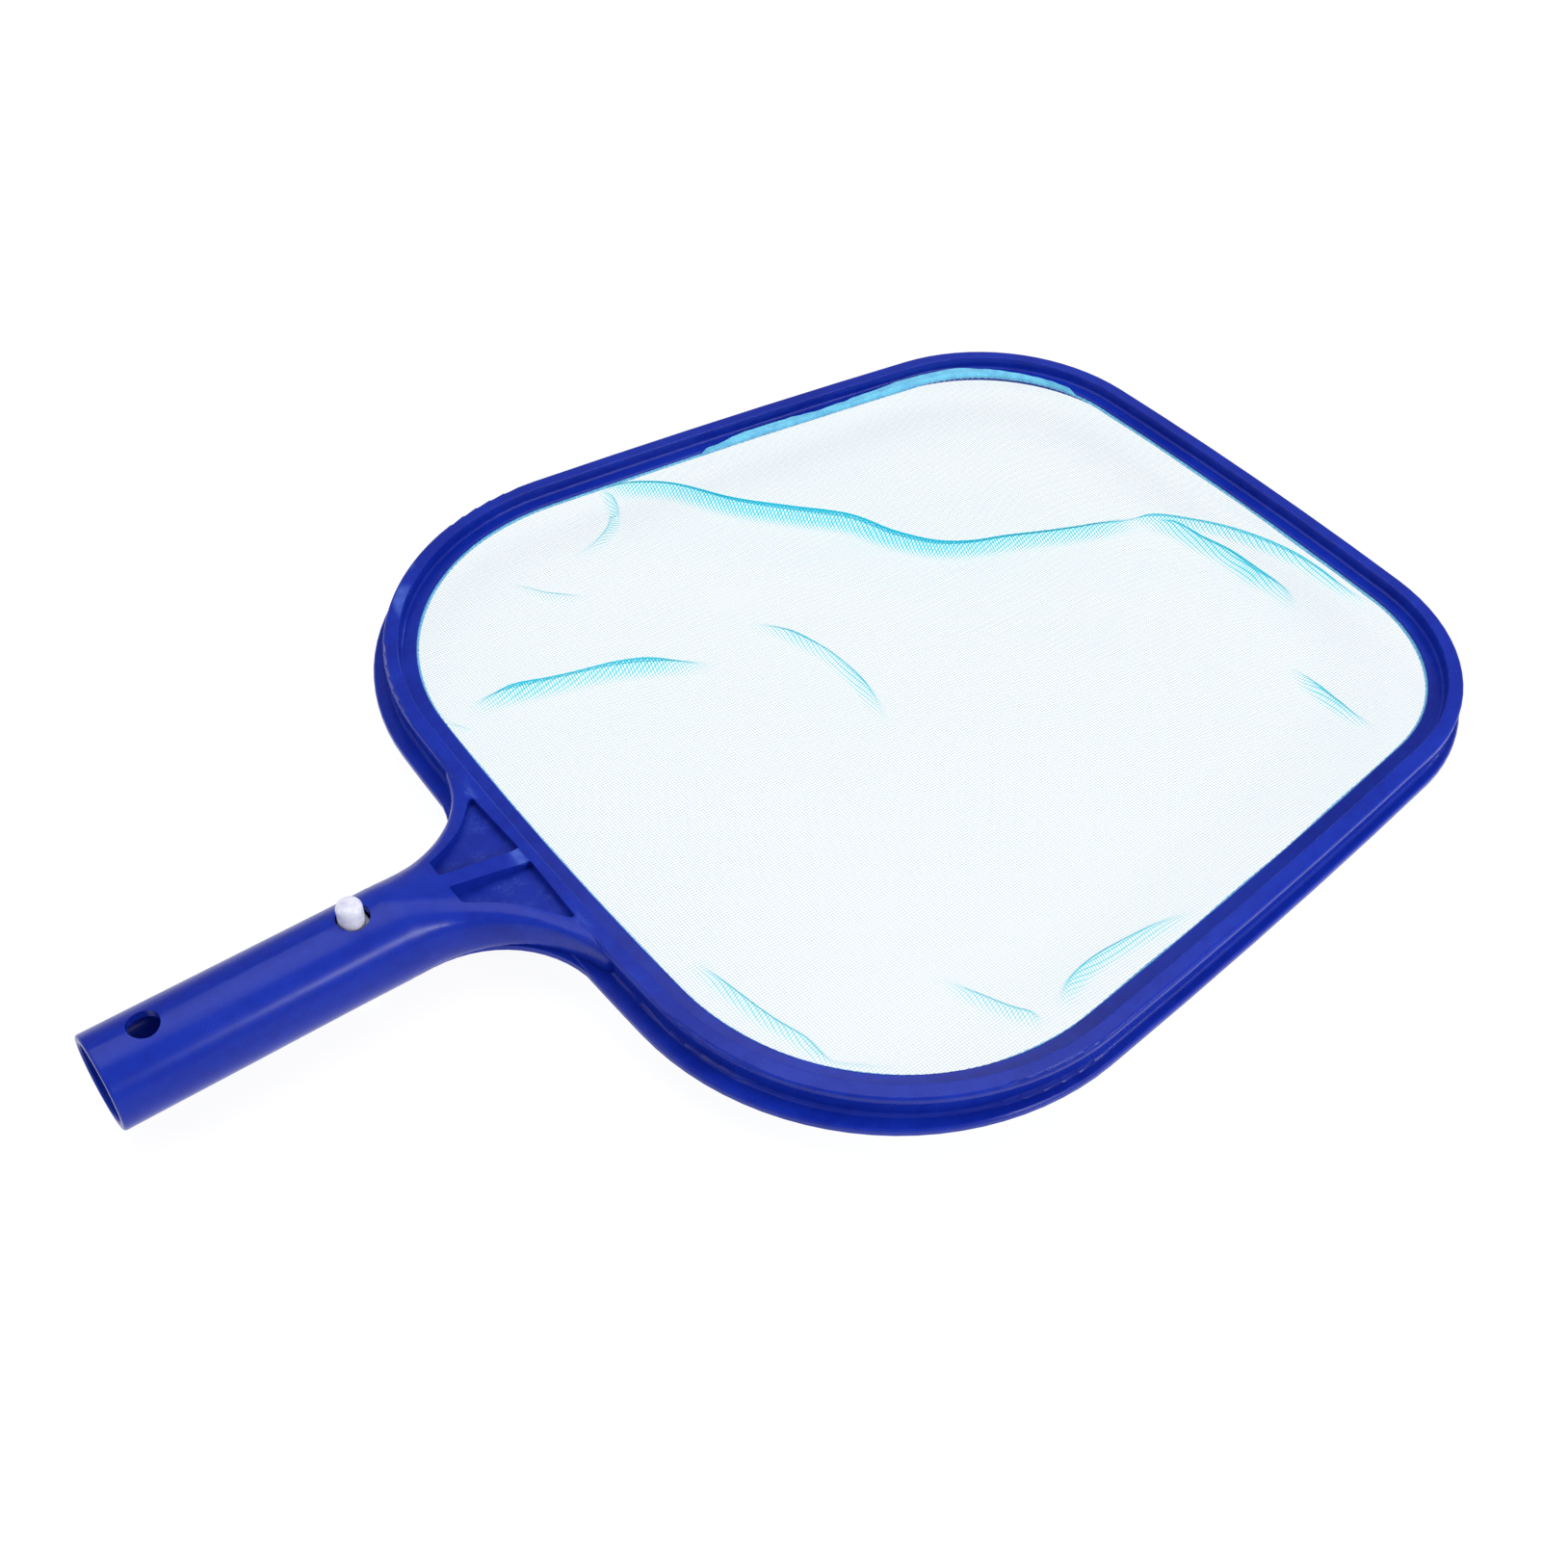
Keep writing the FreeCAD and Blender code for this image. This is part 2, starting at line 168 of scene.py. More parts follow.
def moulded(name, base, light, dark, rough=(0.20, 0.29), edge=0.5, pocket=None, sss=0.0):
    """Injection-moulded polypropylene: faint colour flow, orange-peel and fine grain, edges painted lighter as
    highlight lines.
    """
    m = Mat(name)
    p = m.node("ShaderNodeBsdfPrincipled")
    flow = m.noise(26.0, 4.0, 0.55, stretch=(0.5, 1.6, 1.6), dist=0.6)
    mott = m.noise(240.0, 3.0, 0.6)
    fac = m.math("MULTIPLY_ADD", mott, 0.35, m.math("MULTIPLY", flow, 0.65))
    col = m.mix(m.span(fac, 0.35, 0.65, 0.0, 1.0, True), dark, base)
    geo = m.node("ShaderNodeNewGeometry")
    # painted highlight: edges found by pointiness are mixed toward the light colour, in place of the bright lines
    # light draws on rounded edges
    edge_highlight = m.span(geo.outputs["Pointiness"], 0.535, 0.60, 0.0, 1.0, True)
    speck = m.span(m.noise(300.0, 2.0, 0.6, shift=3.1), 0.35, 0.7, 0.6, 1.0, True)
    # the painted edge highlight goes on the hoop's edges only; the handle is smooth
    on_hoop = m.span(m.xyz()[0], -0.094, -0.088, 0.0, 1.0, True)
    edge_highlight = m.math("MULTIPLY", m.math("MULTIPLY", edge_highlight, speck), m.math("MULTIPLY", on_hoop, edge))
    col = m.mix(edge_highlight, col, light)
    grain = m.noise(2600.0, 2.0, 0.5, shift=1.7)
    peel = m.noise(420.0, 2.0, 0.4, shift=5.3)
    r = m.span(m.math("MULTIPLY_ADD", grain, 0.4, m.math("MULTIPLY", m.noise(60.0, 4.0, 0.6, shift=9.0), 0.6)), 0.35, 0.65, rough[0], rough[1])
    nrm = m.bump(peel, 0.05, 0.00010)
    nrm = m.bump(grain, 0.08, 0.00002, nrm)
    # long hair scratches from handling
    hair = m.noise(90.0, 5.0, 0.75, stretch=(1.0, 22.0, 6.0), dist=0.25, shift=2.2)
    line = m.span(m.math("ABSOLUTE", m.math("SUBTRACT", hair, 0.5)), 0.0, 0.006, 1.0, 0.0)
    few = m.span(m.noise(18.0, 2.0, 0.5, shift=7.7), 0.52, 0.66, 0.0, 1.0, True)
    line = m.math("MULTIPLY", line, few)
    col = m.mix(m.math("MULTIPLY", line, 0.16), col, light)
    r = m.math("MULTIPLY_ADD", line, 0.12, r)
    if pocket is not None:
        x0, x1, y1, zs, slope, xs = pocket
        s = m.xyz()
        zf = m.math("MULTIPLY_ADD", m.math("SUBTRACT", xs, s[0]), slope, zs)
        on = m.math("LESS_THAN", m.math("ABSOLUTE", m.math("SUBTRACT", s[2], zf)), 0.00035)
        on = m.math("MULTIPLY", on, m.math("GREATER_THAN", s[0], x0))
        on = m.math("MULTIPLY", on, m.math("LESS_THAN", s[0], x1))
        on = m.math("MULTIPLY", on, m.math("LESS_THAN", m.math("ABSOLUTE", s[1]), y1))
        scuff = m.noise(330.0, 5.0, 0.8, stretch=(1.0, 2.2, 1.0), dist=1.2, shift=4.4)
        marks = m.span(m.math("ABSOLUTE", m.math("SUBTRACT", scuff, 0.5)), 0.0, 0.02, 1.0, 0.0)
        marks = m.math("MULTIPLY", marks, m.span(m.noise(150.0, 2.0, 0.5, shift=8.1), 0.45, 0.65, 0.0, 1.0, True))
        spark = m.noise(1500.0, 3.0, 0.7, shift=6.6)
        r = m.math("MULTIPLY_ADD", m.math("MULTIPLY", on, m.span(spark, 0.3, 0.7, 0.5, 1.2)), 0.22, r)
        col = m.mix(m.math("MULTIPLY", on, 0.35), col, dark)
        col = m.mix(m.math("MULTIPLY", on, m.math("MULTIPLY", marks, 0.45)), col, light)
        nrm = m.bump(m.math("MULTIPLY", on, spark), 0.35, 0.00010, nrm)
    m.link(col, p.inputs["Base Color"])
    m.link(r, p.inputs["Roughness"])
    m.link(nrm, p.inputs["Normal"])
    p.inputs["Specular IOR Level"].default_value = 0.2
    p.inputs["IOR"].default_value = 1.49
    if sss:
        p.inputs["Subsurface Weight"].default_value = sss
        p.inputs["Subsurface Radius"].default_value = (0.4, 0.7, 1.0)
        p.inputs["Subsurface Scale"].default_value = 0.0012
    m.link(p.outputs[0], m.out.inputs[0])
    return m.m


def nylon(name):
    """Natural nylon of the spring clip: milky, slightly see-into, glossy."""
    m = Mat(name)
    p = m.node("ShaderNodeBsdfPrincipled")
    cloud = m.noise(380.0, 4.0, 0.6)
    col = m.mix(m.span(cloud, 0.35, 0.65, 0.0, 1.0, True), srgb(206, 207, 226), srgb(226, 226, 240))
    fine = m.noise(2400.0, 2.0, 0.5, shift=2.0)
    m.link(col, p.inputs["Base Color"])
    m.link(m.span(fine, 0.3, 0.7, 0.22, 0.36), p.inputs["Roughness"])
    m.link(m.bump(m.noise(900.0, 2.0, 0.5, shift=5.0), 0.04, 0.00005), p.inputs["Normal"])
    p.inputs["Subsurface Weight"].default_value = 0.6
    p.inputs["Subsurface Radius"].default_value = (1.0, 0.95, 1.0)
    p.inputs["Subsurface Scale"].default_value = 0.0022
    p.inputs["IOR"].default_value = 1.53
    m.link(p.outputs[0], m.out.inputs[0])
    return m.m


def weave_tape(name, base, pale, dark, scale=2300.0):
    """Close-woven light tape: crossed ribs by the run of the thread, with the raised rib crests paler."""
    m = Mat(name)
    at = m.node("ShaderNodeAttribute", attribute_name="run")
    sp = m.node("ShaderNodeSeparateXYZ")
    m.link(at.outputs["Vector"], sp.inputs[0])
    # run.x is the distance along the tape and run.y the distance across it, in metres
    a = m.math("SINE", m.math("MULTIPLY", sp.outputs[0], scale * 2.6))
    b = m.math("SINE", m.math("MULTIPLY", sp.outputs[1], scale * 2.6))
    rib = m.math("MULTIPLY", a, b)
    noise = m.noise(260.0, 4.0, 0.6)
    p = m.node("ShaderNodeBsdfPrincipled")
    col = m.mix(m.span(noise, 0.35, 0.65, 0.0, 1.0, True), dark, base)
    col = m.mix(m.span(rib, 0.1, 1.0, 0.0, 0.75), col, pale)
    m.link(col, p.inputs["Base Color"])
    m.link(m.span(noise, 0.3, 0.7, 0.55, 0.8), p.inputs["Roughness"])
    p.inputs["Sheen Weight"].default_value = 0.3
    p.inputs["Sheen Roughness"].default_value = 0.5
    nb = m.bump(rib, 0.6, 0.00012)
    nb = m.bump(noise, 0.3, 0.0002, nb)
    m.link(nb, p.inputs["Normal"])
    t = m.node("ShaderNodeBsdfTranslucent")
    m.link(col, t.inputs["Color"])
    mx = m.node("ShaderNodeMixShader")
    mx.inputs[0].default_value = 0.12
    m.link(p.outputs[0], mx.inputs[1])
    m.link(t.outputs[0], mx.inputs[2])
    m.link(mx.outputs[0], m.out.inputs[0])
    return m.m


def strand(name, open_col, close_col, open_t, close_t, open_a, close_a):
    """Clear cyan monofilament: lets light through where strands lie apart, solid where the net is gathered."""
    m = Mat(name)
    g = m.node("ShaderNodeAttribute", attribute_name="gather").outputs["Fac"]
    n = m.noise(700.0, 3.0, 0.6)
    g2 = m.math("MULTIPLY", g, m.span(n, 0.3, 0.7, 0.82, 1.12), clamp=True)
    col = m.mix(g2, open_col, close_col)
    p = m.node("ShaderNodeBsdfPrincipled")
    m.link(col, p.inputs["Base Color"])
    m.link(m.span(n, 0.3, 0.7, 0.28, 0.45), p.inputs["Roughness"])
    m.link(m.bump(m.noise(5200.0, 2.0, 0.5), 0.2, 0.00002), p.inputs["Normal"])
    t = m.node("ShaderNodeBsdfTranslucent")
    m.link(col, t.inputs["Color"])
    body = m.node("ShaderNodeMixShader")
    body.inputs[0].default_value = 0.5
    m.link(p.outputs[0], body.inputs[1])
    m.link(t.outputs[0], body.inputs[2])
    clear = m.node("ShaderNodeBsdfTransparent")
    m.link(m.mix(g2, open_t, close_t), clear.inputs["Color"])
    mx = m.node("ShaderNodeMixShader")
    m.link(m.span(g2, 0.0, 1.0, open_a, close_a), mx.inputs[0])
    m.link(clear.outputs[0], mx.inputs[1])
    m.link(body.outputs[0], mx.inputs[2])
    m.link(mx.outputs[0], m.out.inputs[0])
    return m.m


# ------------------------------------------------------------------ the hoop's outline
panel_lo, panel_hi = (np.array(v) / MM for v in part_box("net_panel"))
hem_lo, hem_hi = (np.array(v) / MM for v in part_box("net_hem_tape"))
frm_lo, frm_hi = (np.array(v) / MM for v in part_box("frame_moulding"))
HEM_IN = -0.35
U0 = hoop_low / MM                                    # level of the hoop's underside
ARC_R = [1316.88, 54.05, 2920.4, 75.15]
ARC_DEG = [2.865, 78.57, 2.974, 92.739]


def outline():
    """The ledge's inner edge as arcs (centre, radius, start, end), placed by the net panel's box."""
    x, y, head = panel_hi[0] - HEM_IN, 0.0, math.pi / 2
    half = []
    for r, deg in zip(ARC_R, ARC_DEG):
        cx, cy = x - r * math.sin(head), y + r * math.cos(head)
        a0, a1 = head - math.pi / 2, head - math.pi / 2 + math.radians(deg)
        half.append((cx, cy, r, a0, a1))
        x, y = cx + r * math.cos(a1), cy + r * math.sin(a1)
        head += math.radians(deg)
    r = -y / math.cos(head)
    cx = x - r * math.sin(head)
    arcs = [(half[0][0], 0.0, half[0][2], -half[0][4], half[0][4])] + half[1:]
    arcs.append((cx, 0.0, r, head - math.pi / 2, 2 * math.pi - (head - math.pi / 2)))
    return arcs + [(cx, -cy, r, 2 * math.pi - a1, 2 * math.pi - a0) for cx, cy, r, a0, a1 in reversed(half[1:])]


ARCS = outline()


def rim(step):
    """Points of the ledge's inner edge about step mm apart, their outward normals and the distance run."""
    pts, nrm = [], []
    for cx, cy, r, a0, a1 in ARCS:
        n = max(2, int(round(r * (a1 - a0) / step)))
        a = a0 + (a1 - a0) * np.arange(n) / n
        pts.append(np.c_[cx + r * np.cos(a), cy + r * np.sin(a)])
        nrm.append(np.c_[np.cos(a), np.sin(a)])
    pts, nrm = np.vstack(pts), np.vstack(nrm)
    run = np.r_[0, np.cumsum(np.hypot(*(np.roll(pts, -1, 0) - pts).T))]
    return pts, nrm, run


def mesh_piece(name, verts, faces, material, attrs=None, smooth=True):
    me = bpy.data.meshes.new(name)
    me.from_pydata([tuple(v) for v in np.asarray(verts) * MM], [], [tuple(int(i) for i in f) for f in faces])
    me.validate()
    for k, (kind, data) in (attrs or {}).items():
        a = me.attributes.new(k, kind, "POINT")
        a.data.foreach_set("value" if kind == "FLOAT" else "vector", np.asarray(data, np.float32).ravel())
    if smooth:
        me.polygons.foreach_set("use_smooth", [True] * len(me.polygons))
    me.update()
    me.materials.append(material)
    ob = bpy.data.objects.new(name, me)
    scene.collection.objects.link(ob)
    return ob


def swell(x, y, seed=0):
    """A smooth repeatable wobble between about -1 and 1."""
    r = np.random.default_rng(seed)
    out = 0
    for k in range(6):
        a, f, ph = r.uniform(0, 2 * np.pi), r.uniform(0.6, 1.6), r.uniform(0, 2 * np.pi)
        out = out + np.sin(f * (x * np.cos(a) + y * np.sin(a)) + ph)
    return out / 3.2


# ------------------------------------------------------------------ the slack net
# Folds across the net, as fractions of the net panel's box: points, height and lean of the
# fold in mm, half-width in mm, how closely the net is gathered in it.
FOLDS = [
    ([(0.3589, 0.9919), (0.4040, 0.9659), (0.4408, 0.9337), (0.4836, 0.8677), (0.5326, 0.8120), (0.5813, 0.7566), (0.6059, 0.7004), (0.6384, 0.6551), (0.6778, 0.6282), (0.7258, 0.6113), (0.7840, 0.5870), (0.8182, 0.5711), (0.8588, 0.5530), (0.8956, 0.5305)], 3.0, 1.7, 2.5, 1.0, (0.08, 0.12)),
    ([(0.8588, 0.5530), (0.8969, 0.5320), (0.9277, 0.4875), (0.9495, 0.4380), (0.9723, 0.3627), (0.9759, 0.2987), (0.9795, 0.2738), (0.9859, 0.2470)], 2.0, 1.4, 1.6, 0.56, (0.12, 0.25)),
    ([(0.8747, 0.5436), (0.8995, 0.5084), (0.9062, 0.4654), (0.9132, 0.4252), (0.9126, 0.3798), (0.9174, 0.3357), (0.9027, 0.2959)], 2.6, 2.2, 2.1, 0.70, (0.2, 0.4)),
    ([(0.0267, 0.7391), (0.0745, 0.7365), (0.1234, 0.7258), (0.1686, 0.7141), (0.2108, 0.6988), (0.2640, 0.6693), (0.3093, 0.6375)], 2.6, 1.8, 2.2, 0.53, (0.25, 0.3)),
    ([(0.3726, 0.6850), (0.3956, 0.6528), (0.4081, 0.6200), (0.4199, 0.5775), (0.4211, 0.5292), (0.4142, 0.4860), (0.4019, 0.4402)], 2.0, 1.0, 1.7, 0.39, (0.3, 0.4)),
    ([(0.3638, 0.9883), (0.3670, 0.9663), (0.3592, 0.9430), (0.3398, 0.9193), (0.3142, 0.9054), (0.2864, 0.9007), (0.2684, 0.9071)], 1.6, 0.8, 1.4, 0.30, (0.15, 0.5)),
    ([(0.1817, 0.9083), (0.1983, 0.8804), (0.2166, 0.8557), (0.2588, 0.8243)], 1.0, 0.6, 1.4, 0.16, (0.4, 0.5)),
    ([(0.0055, 0.7666), (0.0054, 0.7511), (0.0055, 0.7317), (0.0144, 0.7174), (0.0297, 0.7059)], 0.9, 0.5, 1.1, 0.20, (0.3, 0.4)),
    ([(0.0352, 0.2960), (0.0360, 0.2600), (0.0421, 0.2206), (0.0503, 0.1818), (0.0619, 0.1438), (0.0621, 0.1192), (0.0663, 0.1017), (0.0936, 0.0768), (0.1251, 0.0514)], 1.8, 1.0, 1.5, 0.34, (0.2, 0.3)),
    ([(0.2181, 0.1281), (0.2233, 0.0967), (0.2323, 0.0703), (0.2420, 0.0481), (0.2516, 0.0318), (0.2582, 0.0122)], 1.7, 0.9, 1.6, 0.30, (0.4, 0.2)),
    ([(0.2774, 0.0212), (0.2937, 0.0268), (0.3165, 0.0367), (0.3412, 0.0426), (0.3716, 0.0444), (0.4128, 0.0416), (0.4512, 0.0366), (0.4849, 0.0290)], 1.9, 1.2, 1.7, 0.39, (0.2, 0.35)),
    ([(0.8349, 0.2464), (0.8345, 0.2198), (0.8285, 0.1837), (0.8272, 0.1408), (0.8335, 0.1027)], 1.8, 1.4, 1.6, 0.44, (0.4, 0.4)),
]
AWAY = np.array([-back.x, -back.y])
AWAY = AWAY / np.linalg.norm(AWAY)                    # the folds lie over towards this side


def smooth_line(points, n=160):
    """A Catmull-Rom line through the points, sampled evenly."""
    p = np.array(points, float)
    p = np.vstack([2 * p[0] - p[1], p, 2 * p[-1] - p[-2]])
    out = []
    for i in range(1, len(p) - 2):
        t = np.linspace(0, 1, 24, endpoint=False)[:, None]
        a, b, c, d = p[i - 1], p[i], p[i + 1], p[i + 2]
        out.append(0.5 * (2 * b + (c - a) * t + (2 * a - 5 * b + 4 * c - d) * t ** 2 + (3 * b - a - 3 * c + d) * t ** 3))
    out = np.vstack(out + [p[-2][None]])
    s = np.r_[0, np.cumsum(np.linalg.norm(np.diff(out, axis=0), axis=1))]
    at = np.linspace(0, s[-1], n)
    return np.c_[np.interp(at, s, out[:, 0]), np.interp(at, s, out[:, 1])], at / s[-1]


size = panel_hi[:2] - panel_lo[:2]
LINES = []
for pts, rise, lean, wide, close, ends in FOLDS:
    line, t = smooth_line([panel_lo[:2] + np.array(p) * size for p in pts])
    taper = np.clip(t / ends[0], 0, 1) * np.clip((1 - t) / ends[1], 0, 1)
    taper = taper * taper * (3 - 2 * taper)
    wob = 1 + 0.22 * swell(t * 9, t * 0, seed=len(LINES) + 3)
    LINES.append((line, taper * wob, rise, lean, wide, close))

edge_pts, edge_nrm, edge_run = rim(1.2)
gx = np.arange(panel_lo[0] - 4, panel_hi[0] + 5, 1.5)
gy = np.arange(panel_lo[1] - 4, panel_hi[1] + 5, 1.5)
cells = np.stack(np.meshgrid(gx, gy, indexing="ij"), -1).reshape(-1, 2)
near = np.empty(len(cells))
for i in range(0, len(cells), 4000):
    c = cells[i:i + 4000]
    near[i:i + 4000] = np.sqrt(((c[:, None] - edge_pts[None]) ** 2).sum(2)).min(1)
near = near.reshape(len(gx), len(gy))


def from_edge(p):
    """Distance in mm from the ledge's inner edge, read from a grid."""
    fx = np.clip((p[:, 0] - gx[0]) / 1.5, 0, len(gx) - 1.001)
    fy = np.clip((p[:, 1] - gy[0]) / 1.5, 0, len(gy) - 1.001)
    i, j = fx.astype(int), fy.astype(int)
    a, b = fx - i, fy - j
    return near[i, j] * (1 - a) * (1 - b) + near[i + 1, j] * a * (1 - b) + near[i, j + 1] * (1 - a) * b + near[i + 1, j + 1] * a * b


NET_Z = (panel_lo[2] + panel_hi[2]) / 2


def slack(p):
    """Where a point of the flat net lies once the net is slack, in mm, and how gathered it is there."""
    d_edge = from_edge(p)
    hold = np.clip(d_edge / 9.0, 0, 1)
    hold = hold * hold * (3 - 2 * hold)
    free = np.clip(d_edge / 60.0, 0, 1)
    x, y = p[:, 0], p[:, 1]
    z = -3.4 * np.sin(free * np.pi / 2) ** 1.5
    z = z + hold * (0.9 * swell(x / 26, y / 26, 1) + 0.35 * swell(x / 9, y / 9, 2))
    out = np.c_[x, y, NET_Z + z]
    gather = np.zeros(len(p))
    for line, amp, rise, lean, wide, close in LINES:
        lo, hi = line.min(0) - 14, line.max(0) + 14
        i = np.nonzero(((p > lo) & (p < hi)).all(1))[0]
        if not len(i):
            continue
        q = p[i]
        best = np.full(len(q), 1e9)
        who = np.zeros(len(q), int)
        for k in range(0, len(q), 20000):
            dd = ((q[k:k + 20000, None] - line[None]) ** 2).sum(2)
            who[k:k + 20000] = dd.argmin(1)
            best[k:k + 20000] = dd.min(1)
        tang = np.gradient(line, axis=0)[who]
        tang /= np.linalg.norm(tang, axis=1)[:, None]
        nrm = np.c_[-tang[:, 1], tang[:, 0]]
        nrm *= np.where(nrm @ AWAY >= 0, 1, -1)[:, None]
        side = ((q - line[who]) * nrm).sum(1)
        past = np.sqrt(np.maximum(best - side ** 2, 0))       # beyond the line's ends
        a = amp[who] * np.exp(-(past / 4) ** 2) * np.clip(d_edge[i] / 2.5, 0, 1)
        g = np.exp(-(side / wide) ** 2)
        out[i, 2] += rise * a * g
        out[i, :2] += nrm * (lean * a * g)[:, None]
        gather[i] = np.maximum(gather[i], np.minimum(1.35 * close, 1.0) * a * np.exp(-(np.maximum(np.abs(side + 0.25 * wide) - 0.35 * wide, 0) / (0.85 * wide)) ** 2))
    return out, np.clip(gather, 0, 1)


def thin(points, tol):
    """Indices of the points that keep the line within tol (Douglas-Peucker)."""
    keep, todo = {0, len(points) - 1}, [(0, len(points) - 1)]
    while todo:
        a, b = todo.pop()
        if b - a < 2:
            continue
        d = points[b] - points[a]
        n = np.linalg.norm(d)
        v = points[a + 1:b] - points[a]
        off = np.linalg.norm(np.cross(v, d / n), axis=1) if n > 1e-9 else np.linalg.norm(v, axis=1)
        k = int(off.argmax())
        if off[k] > tol:
            k += a + 1
            keep.add(k)
            todo += [(a, k), (k, b)]
    return sorted(keep)


PITCH, STRAND_R = 0.86, 0.105
loop = edge_pts + edge_nrm * 0.9                      # the net runs on into the hem


def chords(axis, value):
    """Start and end of the net along a line x = value or y = value."""
    c = loop[:, axis]
    d = np.roll(c, -1)
    i = np.nonzero((c - value) * (d - value) < 0)[0]
    o = loop[:, 1 - axis]
    p = np.roll(o, -1)
    hit = o[i] + (value - c[i]) / (d[i] - c[i]) * (p[i] - o[i])
    return (hit.min(), hit.max()) if len(hit) >= 2 else None


threads = []
for axis in (0, 1):
    lo, hi = loop[:, axis].min(), loop[:, axis].max()
    k0, k1 = int(math.ceil(lo / PITCH)), int(math.floor(hi / PITCH))
    for k in range(k0, k1 + 1):
        v = k * PITCH + 0.011 + 0.04 * math.sin(k * 2.3)
        ends = chords(axis, v)
        if ends is None or ends[1] - ends[0] < 4:
            continue
        n = max(6, int((ends[1] - ends[0]) / 0.55))
        t = np.linspace(ends[0], ends[1], n)
        c = np.full(n, v)
        threads.append((axis, np.c_[c, t] if axis == 0 else np.c_[t, c]))
flat = np.vstack([t for _, t in threads])
placed, gathered = slack(flat)
verts, faces, gath, base, at = [], [], [], 0, 0
TRI = [(math.cos(a), math.sin(a)) for a in (math.pi / 2, math.pi * 7 / 6, math.pi * 11 / 6)]
for axis, t in threads:
    p, g = placed[at:at + len(t)].copy(), gathered[at:at + len(t)]
    at += len(t)
    p[:, 2] += 0.06 if axis else -0.06
    k = thin(p, 0.045)
    p, g = p[k], g[k]
    tan = np.gradient(p, axis=0)
    tan /= np.linalg.norm(tan, axis=1)[:, None]
    side = np.cross(tan, (0, 0, 1.0))
    side /= np.maximum(np.linalg.norm(side, axis=1)[:, None], 1e-6)
    top = np.cross(side, tan)
    r = STRAND_R * (1 + 1.5 * g)[:, None]
    verts += [np.stack([p + r * (side * c + top * s) for c, s in TRI], 1).reshape(-1, 3)]
    gath.append(np.repeat(g, 3))
    n = len(p)
    i = base + 3 * np.arange(n - 1)[:, None]
    for a, b in ((0, 1), (1, 2), (2, 0)):
        faces.append(np.c_[i + a, i + b, i + 3 + b, i + 3 + a])
    base += 3 * n
verts, faces, gath = np.vstack(verts), np.vstack(faces), np.concatenate(gath)
print("net: threads", len(threads), "faces", len(faces), "triangles", 2 * len(faces))
net_mat = strand("net_monofilament", srgb(190, 226, 242), srgb(110, 226, 248), (0.865, 0.925, 0.95), (0.24, 0.93, 0.985), 0.05, 0.16)
net = mesh_piece("net", verts, faces, net_mat, {"gather": ("FLOAT", gath)})
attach(net, "skimmer")
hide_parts("net_panel")

# ------------------------------------------------------------------ hem tape
pts, nrm, run = rim(0.7)
n = len(pts)
s = run[:-1]
zb, zt = hem_lo[2], hem_hi[2]
zm, hz = (zb + zt) / 2, (zt - zb) / 2 - 0.03
wav = 0.14 * swell(s / 5.0, s * 0, 11) + 0.08 * np.sin(s * 2 * np.pi / 2.6)
sec = [(4.15, 0.9), (2.0, 0.95), (0.3, 1.0), (-0.2, 0.93), (-0.5, 0.70), (-0.66, 0.25), (-0.66, -0.25), (-0.5, -0.70), (-0.2, -0.93), (0.3, -1.0), (2.0, -0.95), (4.15, -0.9)]
rows, attr = [], []
for u, h in sec:
    w = np.clip((0.6 - u) / 1.2, 0, 1) * wav
    rows.append(np.c_[pts + nrm * (u + w)[:, None], zm + hz * h * (1 + 0 * s)])
    attr.append(np.c_[s * MM, np.full(n, u * MM + h * 0.0005), np.zeros(n)])
m_ = len(sec)
hv = np.stack(rows, 1).reshape(-1, 3)
ha = np.stack(attr, 1).reshape(-1, 3)
idx = np.arange(n)[:, None] * m_ + np.arange(m_)[None]
nxt = np.roll(idx, -1, 0)
hf = np.stack([idx, np.roll(idx, -1, 1), np.roll(nxt, -1, 1), nxt], -1).reshape(-1, 4)
hem = mesh_piece("hem_tape", hv, hf, weave_tape("hem_tape_weave", srgb(92, 196, 244), srgb(180, 236, 252), srgb(66, 168, 228)), {"run": ("FLOAT_VECTOR", ha)})
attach(hem, "skimmer")
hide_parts("net_hem_tape")


def tube(path, radius, sides=5):
    """Closed-ended round strand along a path of points."""
    p = np.asarray(path, float)
    tan = np.gradient(p, axis=0)
    tan /= np.linalg.norm(tan, axis=1)[:, None]
    ref = np.array([0.3, 0.2, 0.93])
    a = np.cross(tan, ref)
    a /= np.linalg.norm(a, axis=1)[:, None]
    b = np.cross(tan, a)
    ang = np.arange(sides) * 2 * np.pi / sides
    v = (p[:, None] + radius * (a[:, None] * np.cos(ang)[None, :, None] + b[:, None] * np.sin(ang)[None, :, None])).reshape(-1, 3)
    f = []
    for i in range(len(p) - 1):
        for k in range(sides):
            f.append((i * sides + k, i * sides + (k + 1) % sides, (i + 1) * sides + (k + 1) % sides, (i + 1) * sides + k))
    f.append(tuple(range(sides))[::-1])
    f.append(tuple((len(p) - 1) * sides + k for k in range(sides)))
    return v, f


# whip stitches over the folded nose of the tape
sv, sf, off = [], [], 0
gap = 2.3
count = int(run[-1] / gap)
for k in range(count):
    s0 = (k + 0.5) * run[-1] / count + 0.25 * math.sin(k * 1.7)
    ring_pts = []
    for t in np.linspace(-0.15, 1.15, 9):
        ss = (s0 + 0.9 * t) % run[-1]
        j = int(np.searchsorted(run, ss, side="right") - 1) % n
        a = math.radians(75 - 150 * t)
        u = -0.06 - 0.66 * math.cos(a)
        z = zm + (hz + 0.05) * math.sin(a)
        c = pts[j] + (pts[(j + 1) % n] - pts[j]) * ((ss - run[j]) / max(run[j + 1] - run[j], 1e-6)) + nrm[j] * u
        ring_pts.append((c[0], c[1], z))
    v, f = tube(ring_pts, 0.09, 4)
    sv.append(v)
    sf += [tuple(i + off for i in face) for face in f]
    off += len(v)
